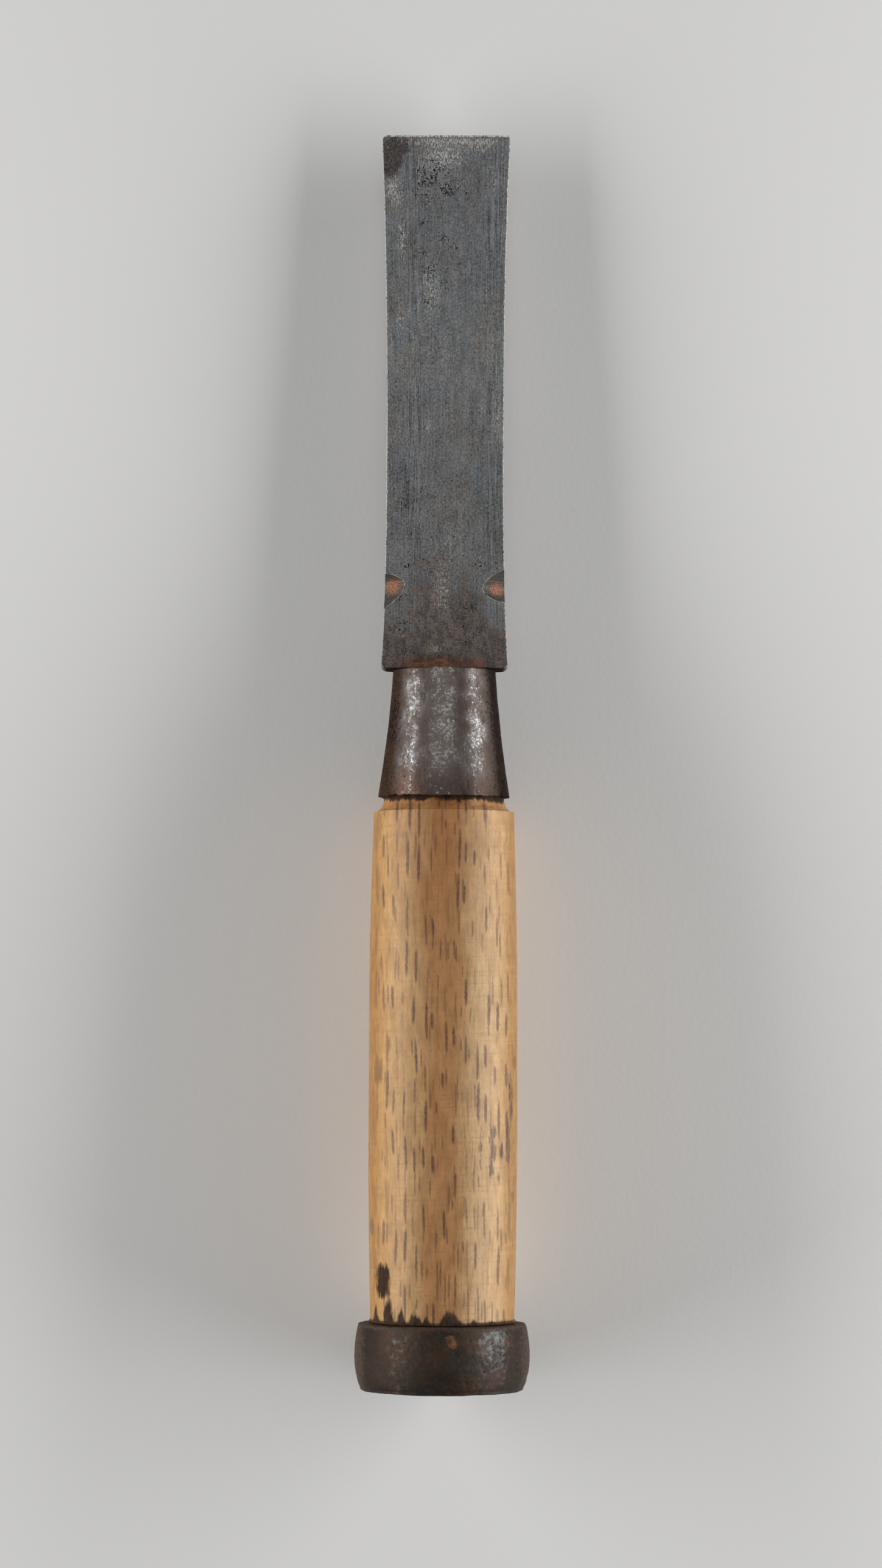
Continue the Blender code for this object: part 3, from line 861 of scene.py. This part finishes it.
def ferrule_material():
    """Brown patina worn through to silvery steel in clouds of fine specks."""
    g = Graph("ferrule_patina")
    place = g.vector("tool")
    x, s, h = g.split(place)
    cloud = g.noise(place, (0.42, 0.3, 0.42), 0.55)
    patch = g.noise(place, (1.7, 1.5, 1.7), 0.7)
    grain = g.noise(place, 3.6, 0.7)
    share = x / ramp(s, *FERRULE_CONE, "LINEAR")
    # Painted light: the bright specks are thinned in two columns between where the side lights' highlights
    # fall, and a little over the right side.
    between_highlight_bands = most(ramp(abs(share + 0.36), 0.16, 0.04), ramp(abs(share - 0.31), 0.18, 0.05))
    side = ramp(abs(share) + 0.22 * patch, 0.76, 1) * ramp(h, -9, -4, 0.6)
    # Painted light: along the top middle the ferrule is made paler, its specks brighter and a little denser,
    # and less metallic, standing for light from above; the specks there are wear as well.
    centre = ramp(abs(share + 0.04), 0.42, 0.05)
    low = ramp(s, 125, 118)
    lack = 0.13 * between_highlight_bands + 0.3 * side + 0.07 * low
    worn = 0.5 * cloud + 0.9 * patch + 0.5 * grain + 0.035 * centre
    worn = worn - (lack + 0.035 * ramp(share, 0.3, 0.5))
    soft = ramp(worn, 0.85, 1.1)
    worn = ramp(worn, 0.99, 1.16)
    base = mix(ramp(cloud, 0.35, 0.65), (0.07, 0.053, 0.044), (0.105, 0.093, 0.088))
    base = mix(0.75 * centre, base, (0.225, 0.172, 0.15))
    base = mix(0.55 * soft, base, (0.235, 0.228, 0.22))
    by_mouth = mix(ramp(x, 1, -9), (0.057, 0.036, 0.028), (0.096, 0.043, 0.025))
    base = mix(0.72 * low, base, by_mouth)
    bright = mix(centre, (0.36, 0.378, 0.387), (0.55, 0.52, 0.49))
    bright = mix(ramp(grain, 0.56, 0.68), bright, (0.74, 0.7, 0.62))
    color = mix(0.9 * worn, base, bright)
    rusty = mix(ramp(grain, 0.35, 0.65), (0.014, 0.01, 0.008), (0.1, 0.052, 0.03))
    rusty = mix(ramp(h, 2, -3), rusty, mix(patch, (0.045, 0.031, 0.024), (0.15, 0.09, 0.06)))
    # Painted shade: the rust on the right flank above the axis is darkened.
    rusty = tint(ramp(share, 0.7, 0.9) * ramp(h, -2, 3), rusty, (0.36, 0.29, 0.25))
    rusty = tint(ramp(share, -0.66, -0.86), rusty, (0.7, 0.63, 0.54))
    color = mix(side, color, rusty)
    holes = g.noise(place, (1.9, 1.3, 1.9), 0.65)
    streaked = ramp(share, -0.7, -0.86) * ramp(s, 125, 129.5) * ramp(s, 137.5, 134)
    dark = (0.12 * ramp(share, 0.74, 0.92) + 0.1 * streaked) * ramp(h, -2, 3)
    holes = ramp(holes + 0.06 * side + dark, 0.625, 0.72)
    color = mix(0.95 * holes, color, (0.006, 0.005, 0.005))
    dull = most(holes, 0.8 * side)
    rough = blend(worn, 0.44, 0.36) + 0.16 * grain + 0.14 * dull
    # The top middle is less metallic, as part of its painted light.
    metal = 0.9 - 0.8 * most(dull, 0.6 * centre)
    relief = [(grain, 0.028), (patch, 0.035), (1 - holes, 0.06)]
    return g.finish(color, rough, metal, relief, blend(side, 0.5, 0.06))


def hoop_material():
    """Brown-black oxide on hammered iron, lighter and more metallic in a band on each side of the top, most
    on the right, and with one orange spot.
    """
    g = Graph("hoop_oxide")
    place = g.vector("tool")
    x, s, h = g.split(place)
    cloud = g.noise(place, (0.17, 0.22, 0.17), 0.6, 4)
    patch = g.noise(place, (0.9, 1, 0.9), 0.65, 4)
    grain = g.noise(place, 3, 0.7)
    base = mix(ramp(cloud, 0.35, 0.68), (0.034, 0.0255, 0.0185), (0.065, 0.0355, 0.0205))
    base = mix(0.35 * ramp(patch, 0.45, 0.65), base, (0.075, 0.068, 0.062))
    base = tint(ramp(abs(x), 7, 13), base, (0.58, 0.5, 0.44))
    base = tint(ramp(x, -5, -11), base, (0.8, 0.66, 0.53))
    bright_side_bands = ramp(x, 4.5, 9.5) * ramp(x, 15, 11) * ramp(s, -2, 9)
    bright_side_bands = bright_side_bands + 0.45 * ramp(x, -4.5, -8) * ramp(x, -13, -9)
    worn = ramp(0.26 * bright_side_bands * ramp(h, 6, 10) + 0.7 * patch + 0.3 * grain + 0.3 * cloud, 0.78, 1.08)
    color = mix(0.85 * worn, base, (0.125, 0.142, 0.15))
    crust = ramp(s + 1.6 * patch, 13, 13.9)
    crust = most(crust, ramp(abs(x) + 4 * patch, 16.8, 18.6))
    rusty = mix(ramp(grain, 0.35, 0.65), (0.02, 0.012, 0.008), (0.085, 0.048, 0.03))
    color = mix(0.95 * crust, color, rusty)
    dx, ds = x - 1.8, s - 10.5
    spot = ramp(0.5 * dx * dx + 0.7 * ds * ds + 6 * patch, 4.3, 2.2) * ramp(h, 0, 6)
    color = mix(0.8 * spot, color, (0.25, 0.105, 0.04))
    holes = g.noise(place, (1, 1.2, 1), 0.6)
    holes = ramp(holes + 0.07 * ramp(x, 11, 15), 0.66, 0.73)
    color = mix(0.85 * holes, color, (0.008, 0.007, 0.006))
    dull = most(crust, spot, holes)
    rough = blend(worn, 0.46, 0.42) + 0.18 * grain + 0.15 * dull
    metal = blend(worn, 0.6, 0.95) - 0.5 * dull
    relief = [(grain, 0.035), (patch, 0.05), (1 - holes, 0.06)]
    return g.finish(color, rough, metal, relief, 0.35)


def oak_material():
    """Turned oak: rays stand as thin sheets, so they are dashes from above and broad flecks from the side."""
    g = Graph("oak")
    place = g.vector("tool")
    x, s, h = g.split(place)
    stain_and_mouth_shadow, blot, crust = g.split(g.vector("marks"))
    torn = g.noise(place, (1.5, 0.42, 1.5), 0.7, 4)
    stain_and_mouth_shadow = 0.95 * ramp(stain_and_mouth_shadow + 2.2 * torn, 0.65, 1.6)
    blot = 0.95 * ramp(blot + 2.2 * torn, 0.85, 1.75)
    fibre = g.noise(place, (2.6, 0.18, 2.6), 0.65, 4)
    pores = g.noise(place, (4.5, 1.1, 4.5), 0.65, 2)
    mottle = g.noise(place, (0.7, 0.22, 0.7), 0.6)
    cloud = g.noise(place, (0.16, 0.035, 0.16), 0.55)
    blotchy = g.noise(place, (0.35, 0.16, 0.35), 0.6)
    light = 0.3 * fibre + 0.35 * mottle + 0.35 * blotchy
    color = mix(ramp(light, 0.33, 0.67), (0.41, 0.24, 0.105), (0.63, 0.4, 0.19))
    # A darker, browner band wanders along the top of the handle: partly the wood's tone, partly painted shade
    # where the side lights reach least.
    wander = 9 * (cloud - 0.5)
    heartwood_and_top_shade = ramp(abs(x + wander - 0.2), 5.5, 1.8)
    color = tint(0.9 * heartwood_and_top_shade, color, (0.8, 0.615, 0.49))
    color = tint(ramp(x, 1, -8), color, (0.97, 0.885, 0.74))
    edge = ramp(abs(x) + 2 * mottle, 12.4, 14.8)
    color = tint(edge, color, (0.74, 0.66, 0.52))
    color = tint(ramp(x, -8, -12), color, (0.99, 0.97, 0.85))
    color = tint(ramp(x, 10, 13), color, (0.91, 0.88, 0.8))
    warm = ramp(s + 30 * cloud + 14 * mottle, 108, 134)
    color = tint(warm * ramp(abs(x), 13, 8), color, (0.88, 0.8, 0.73))
    color = mix(0.4 * ramp(pores, 0.45, 0.28), color, (0.2, 0.1, 0.045))
    rays = ray_dashes(g, x, s, pores, 2, 9.5, 0.21, 3.6, 0)
    rays = most(rays, 0.7 * ray_dashes(g, x, s, pores, 1.7, 8, 0.15, 2.3, 37))
    flat_sawn = ramp(abs(h), 4, 9)
    ray_color = mix(flat_sawn, (0.17, 0.082, 0.04), (0.066, 0.029, 0.024))
    color = mix(rays * blend(flat_sawn, 0.32, 0.92), color, ray_color)
    fleck = g.noise(place, (0.9, 0.32, 0.85), 0.55, 2)
    fleck = ramp(fleck, 0.57, 0.63) * ramp(abs(x), 10.5, 12.8) * ramp(h, 9, 6)
    color = mix(0.45 * fleck, color, (0.23, 0.115, 0.05))
    stroke, patchy, neck = g.split(g.vector("strokes"))
    stroke = ramp(stroke + 2.8 * torn, 1.55, 2.1) * ramp(stroke, 0.05, 0.25)
    patchy = ramp(patchy + 1 * torn, 0.8, 1.15)
    color = mix(0.75 * patchy, color, (0.2, 0.095, 0.035))
    color = mix(stroke * ramp(fibre, 0.38, 0.6, 0.97, 0.55), color, (0.078, 0.043, 0.037))
    slant = g.join(0.07 * x, 1.3 * (s - 0.04 * x), 0.07 * h)
    turning = g.noise(slant, 1, 0.8, 4)
    rings = ramp(turning, 0.49, 0.31)
    broken = ramp(blotchy, 0.42, 0.6)
    color = mix(rings * blend(broken, 0.12, 0.28), color, (0.2, 0.1, 0.045))
    color = mix(0.16 * ramp(turning, 0.54, 0.72) * broken, color, (0.76, 0.56, 0.36))
    # Cove tint: partly dirt, partly painted shade under the ferrule.
    color = tint(neck, color, (0.72, 0.54, 0.34))
    stain_and_shadow_color = mix(ramp(mottle, 0.4, 0.6), (0.019, 0.013, 0.011), (0.046, 0.032, 0.026))
    # Painted shadow: next to the ferrule's mouth the stain colour is darker still.
    stain_and_shadow_color = tint(ramp(s, SHOULDER - 1, SHOULDER), stain_and_shadow_color, (0.6, 0.5, 0.42))
    color = mix(stain_and_mouth_shadow, color, stain_and_shadow_color)
    inky = mix(ramp(pores, 0.3, 0.65), (0.01, 0.005, 0.004), (0.028, 0.014, 0.011))
    color = mix(blot, color, inky)
    crusty = mix(ramp(pores, 0.35, 0.6), (0.018, 0.009, 0.006), (0.08, 0.04, 0.024))
    color = mix(0.9 * crust, color, crusty)
    end = ramp(s, 2.2, 1.2)
    round_x, round_h = x + 1.6 * mottle, h + 26 + 3 * cloud
    ring = g.math("SQRT", round_x * round_x + round_h * round_h)
    ring = g.math("FRACT", 0.42 * (ring + 0.8 * fibre))
    sawn = mix(ramp(ring, 0.15, 0.95), (0.155, 0.083, 0.042), (0.085, 0.043, 0.022))
    cell = g.noise(place, (3.2, 3.2, 2.2), 0.6, 2)
    sawn = mix(ramp(cell, 0.44, 0.34) * ramp(ring, 0.6, 0.1), sawn, (0.018, 0.01, 0.006))
    sawn = mix(0.55 * rays, sawn, (0.2, 0.115, 0.062))
    grime = g.noise(place, 0.22, 0.6, 4)
    sawn = mix(0.75 * ramp(grime, 0.44, 0.6), sawn, (0.03, 0.018, 0.012))
    rim = g.math("SQRT", x * x + h * h)
    sawn = mix(0.8 * ramp(rim + grime, 12.2, 13.6), sawn, (0.02, 0.012, 0.008))
    color = mix(end, color, sawn)
    marked = most(stain_and_mouth_shadow, crust, blot, end)
    rough = 0.46 + 0.16 * pores + 0.35 * marked
    relief = [(fibre + 0.7 * pores, 0.03), (1 - rings, 0.012)]
    return g.finish(color, rough, 0, relief, blend(marked, 0.38, 0.12))


def ray_dashes(g, x, s, fine, spacing, length, half_width, half_length, shift):
    """Rays as slim ellipses across x and s, one in each cell of a shuffled grid, the same at every depth."""
    wander = g.noise(g.join(0.06 * x, 0.05 * s, shift), detail=1)
    ragged = g.noise(g.join(0.8 * x, 1.3 * s, shift), detail=2)
    u = (x + 1.5 * (wander - 0.5) + 0.22 * ragged + shift) / spacing
    v = (s + shift + 0.7 * x) / length
    inputs = {"Vector": g.join(u, v), "Scale": 1, "Randomness": 0.6}
    _, chances, centre, *_ = g.add("TexVoronoi", inputs, voronoi_dimensions="2D")
    centre_u, centre_v, _ = g.split(centre)
    chance, other, _ = g.split(chances)
    wide = blend(other, 0.7, 1.3) * (half_width / spacing)
    tall = blend(chance, 0.4, 1.15) * (half_length / length)
    du = (u - centre_u) / wide
    dv = (v - centre_v) / tall
    reach = du * du + dv * dv * dv * dv
    fade = ramp(other, 0.05, 0.7, 0.3) * ramp(fine, 0.3, 0.6, 1, 0.65)
    return ramp(reach, 2.2, 0.1) * fade


def floor_material():
    g = Graph("pale_floor")
    place = g.add("TexCoord", {})[3]
    soft = g.noise(place, 3, detail=2)
    color = mix(soft, (0.8, 0.79, 0.77), (0.84, 0.83, 0.81))
    return g.finish(color, 0.8, 0, [(g.noise(place, 900, detail=2), 0.02)])


# ---- assembly


def finish_blade(item, node):
    points = tool_points(item)
    x, s, h = points.T
    reach = np.where(x > 0, side_reach(s, 1), side_reach(s, -1))
    store(item, plan=triples(x / np.maximum(reach, 1) * PLAN_HALF, s, h))
    plan = triples(x, s, 0)
    on_back = ease(h, BACK - 0.5, BACK - 0.3)
    pitted = pit_density(x, s) * on_back + 0.3 * (1 - on_back)
    handle_end = ease(s + 3 * fractal(plan, (5, 6, 1), 61), 168, 150)
    uneven = fractal(plan, (2.6, 3.2, 1), 63)
    sides_kept = ease(np.abs(x) + 3 * uneven, 5, 9) * ease(s + 3.5 * uneven, 147.5, 152)
    patches = spots(x, s, BROWNED) * (1 + 0.9 * fractal(plan, (1.3, 0.9, 1), 65))
    browned = unit(patches) * on_back + 0.8 * handle_end * (1 - 0.55 * sides_kept)
    browned = browned + 0.75 * (1 - on_back) * ease(fractal(points, (9, 16, 5), 64), 0.15, 0.5)
    rusted, frosted, blued = (unit(spots(x, s, a)) * on_back for a in (RUSTED, FROSTED, BLUED))
    store(item, stain=triples(pitted, unit(browned), rusted))
    # Masks for the painted highlight along the cutting edge and the rims of the notches.
    tip = ease(s + 0.1 * fractal(plan, (0.5, 9, 1), 62), EDGE - 0.55, EDGE - 0.3) * on_back
    rim = np.maximum(rim_of_notches(item, points) * on_back, tip)
    store(item, wear=triples(frosted, blued, rim))
    store(item, back=on_back, iron=0 * x + (node == "blade_body"))
    store(item, pit=unit(pit_depth(x, s) / 0.06) * on_back)
    rust = []
    for side, reach in ((-1, 1.95), (1, 1.6)):
        deepest = NOTCHES[side][0]
        centre = side * (HALF_WIDTH(deepest) - 1.6), deepest - 0.2
        rust.append(spots(x, s, [(*centre, reach, reach, 1)]))
    store(item, rust=np.maximum(*rust))
    settle(item, node)


def rim_of_notches(item, points, width=0.3):
    """1 where the filed notches meet the worn faces, falling to 0 at a width."""
    seen = [set(), set()]
    for face in item.data.polygons:
        seen[min(face.material_index, 1)].update(face.vertices)
    shared = sorted(seen[0] & seen[1])
    tree = KDTree(len(shared))
    for i in shared:
        tree.insert(points[i], i)
    tree.balance()
    rim = np.zeros(len(points))
    for i in np.flatnonzero(np.abs(points[:, 1] - NOTCH_LEVEL) < 6):
        rim[i] = max(0, 1 - tree.find(points[i])[2] / width)
    return rim


# (across, half width, height) of the flames that iron stain draws in the oak above the hoop
FLAMES = [
    (-13, 0.5, 3.4), (-10.6, 0.85, 5.2), (-8, 0.7, 3.2), (-5.3, 1.1, 2.4), (-3.1, 0.6, 2),
    (1.5, 1.6, 2.5), (3.4, 0.6, 1.2), (6.2, 0.8, 1.1), (9.8, 0.9, 0.8),
]
BLOT = (-11.6, 21.9)
# single dark strokes and brown flecks, as spots
STROKES = [
    (9.7, 49.4, 0.62, 3.2, 1), (9.5, 44.2, 0.45, 2.6, 0.9), (7.4, 48, 0.28, 3.4, 1),
    (12.7, 50, 0.5, 4, 0.9), (11.5, 47.8, 0.3, 2.2, 1), (13.4, 55.4, 0.28, 2.4, 1),
    (12.9, 46.6, 0.35, 1.6, 0.9), (11, 42.4, 0.22, 1.6, 0.9), (13.2, 60.5, 0.5, 2.6, 0.6),
]
BROWN_FLECKS = [
    (-12.9, 63, 0.8, 3.4, 0.9), (-10.6, 68, 0.5, 2.2, 0.7), (-13.9, 32.2, 0.5, 2.2, 0.9),
    (14.1, 64.6, 0.5, 1.8, 0.9), (13.8, 38.2, 0.5, 1.8, 0.7), (13.5, 58.6, 0.6, 2.6, 0.7),
    (-12.2, 84, 0.5, 3, 0.6), (-11.8, 46, 0.4, 2.4, 0.5),
]


def mark_handle(item):
    """Stains and painted shade of the handle: iron stain at both fittings, a painted shadow under the
    ferrule's mouth, painted shade in the cove below it, and one dark blot by the hoop.
    """
    points = tool_points(item)
    x, s, h = points.T
    around = triples(x, 0, h)
    above = s - HOOP_FRONT
    below = np.where(h < 3, 2.2 * ease(noise(around, 1.9, 73), 0.1, 0.8), 0)
    stain_and_mouth_shadow = 0.5 + 0.35 * noise(around, 1.1, 72) + below - above
    for across, half_width, tall in FLAMES:
        beside = np.abs(x - across) / half_width / 1.35
        lobe = 1 - beside ** (0.2 + 1.6 * half_width) - above / tall
        stain_and_mouth_shadow = np.maximum(stain_and_mouth_shadow, np.where(h > 3, 1.6 * lobe + 0.1, -2))
    # Painted shadow: a ragged dark band on the wood right under the ferrule's mouth, wider at two places on
    # the right, stands for the shadow under its lip, together with iron stain.
    mouth = FERRULE_LOW - s
    line = (0.5 * bump(x, 11, 2.2) + 0.4 * bump(x, 5, 1.8)) * (h > 0)
    line = 1.1 + 0.8 * fractal(around, 2, 74) + line
    stain_and_mouth_shadow = np.maximum(stain_and_mouth_shadow, np.where(s > SHOULDER - 0.3, 1.2 * (line - 0.3 - mouth), -2))
    # The cove under the ferrule is tinted darker: partly dirt, partly painted shade under the ferrule.
    neck = ease(s, SHOULDER - 0.1, SHOULDER + 1.2) * (0.75 + 0.4 * fractal(points, (1.5, 3, 1.5), 75))
    across, along = BLOT
    blot = 1 - ((x - across) / 1.45) ** 2 - ((s - along) / 3.7) ** 4
    blot = np.where(h > 0, np.clip(blot, -2, 1), -2)
    outside = ease(s, 2.5, 4.5)
    stain_and_mouth_shadow = np.clip(stain_and_mouth_shadow, -2, 1) * outside - 2 * (1 - outside)
    crust = outside * ease(0.75 + 0.4 * fractal(points, 1.2, 77) - above, 0, 0.3)
    store(item, marks=triples(stain_and_mouth_shadow, blot, crust))
    stroke = spots(x, s, STROKES) * (h > 0)
    patchy = spots(x, s, BROWN_FLECKS) * (h > 0)
    store(item, strokes=triples(stroke, patchy, unit(neck)))


def make_blade():
    steel_look, notch_look = steel_material(), notch_material()
    plate, body, tang = make_steel(), make_body(), make_tang()
    notches = [make_notch_tool(side) for side in NOTCHES]
    for item in (plate, body, tang):
        item.data.materials.append(steel_look)
    for tool in notches:
        tool.data.materials.append(notch_look)
    cut(plate, "DIFFERENCE", notches)
    cut(body, "DIFFERENCE", notches)
    cut(body, "UNION", [tang])
    finish_blade(plate, "cutting_steel")
    finish_blade(body, "blade_body")
    for tool in [*notches, tang]:
        bpy.data.objects.remove(tool, do_unlink=True)


def add_floor():
    bpy.ops.mesh.primitive_plane_add(size=6, location=(0, 0, 0))
    floor = bpy.context.active_object
    floor.name = "floor"
    floor.data.materials.append(floor_material())


def add_light(name, place, target, size, watts):
    data = bpy.data.lights.new(name, "AREA")
    data.shape = "RECTANGLE"
    data.size, data.size_y = size
    data.energy = watts
    light = add_object(name, data)
    light.location = place
    aim = Vector(target) - Vector(place)
    light.rotation_euler = aim.to_track_quat("-Z", "Y").to_euler()
    light.visible_camera = False


def add_lights():
    add_light("left_softbox", (-0.62, 0, 0.21), (0, 0, 0.01), (0.9, 0.26), 5.4)
    add_light("right_softbox", (0.62, 0, 0.21), (0, 0, 0.01), (0.9, 0.26), 6)
    add_light("overhead_fill", (0, 0, 1.3), (0, 0, 0), (0.9, 0.9), 0.6)
    world = bpy.data.worlds.new("studio")
    world.use_nodes = True
    background = world.node_tree.nodes["Background"].inputs
    background["Color"].default_value = (0.9, 0.95, 1, 1)
    background["Strength"].default_value = 0.08
    bpy.context.scene.world = world
    bpy.context.scene.view_settings.view_transform = "Standard"


def add_camera():
    """Straight above the tool, with the narrow angle and the slight turn of the photographer's stand."""
    data = bpy.data.cameras.new("camera")
    data.sensor_width = 36
    data.lens = 101.5
    camera = add_object("camera", data)
    camera.location = (-0.0006, -0.0047, 0.8937)
    camera.rotation_euler = (0, 0, math.radians(0.2))
    bpy.context.scene.camera = camera


def main():
    make_blade()
    ferrule, hoop, handle = make_ferrule(), make_hoop(), make_handle()
    mark_handle(handle)
    for item, look, slot, node in (
        (ferrule, ferrule_material(), "ferrule_iron", "ferrule"),
        (hoop, hoop_material(), "hoop_iron", "hoop"),
        (handle, oak_material(), "oak", "handle"),
    ):
        item.data.materials.append(look)
        settle(item, node)
    add_floor()
    add_lights()
    add_camera()


main()
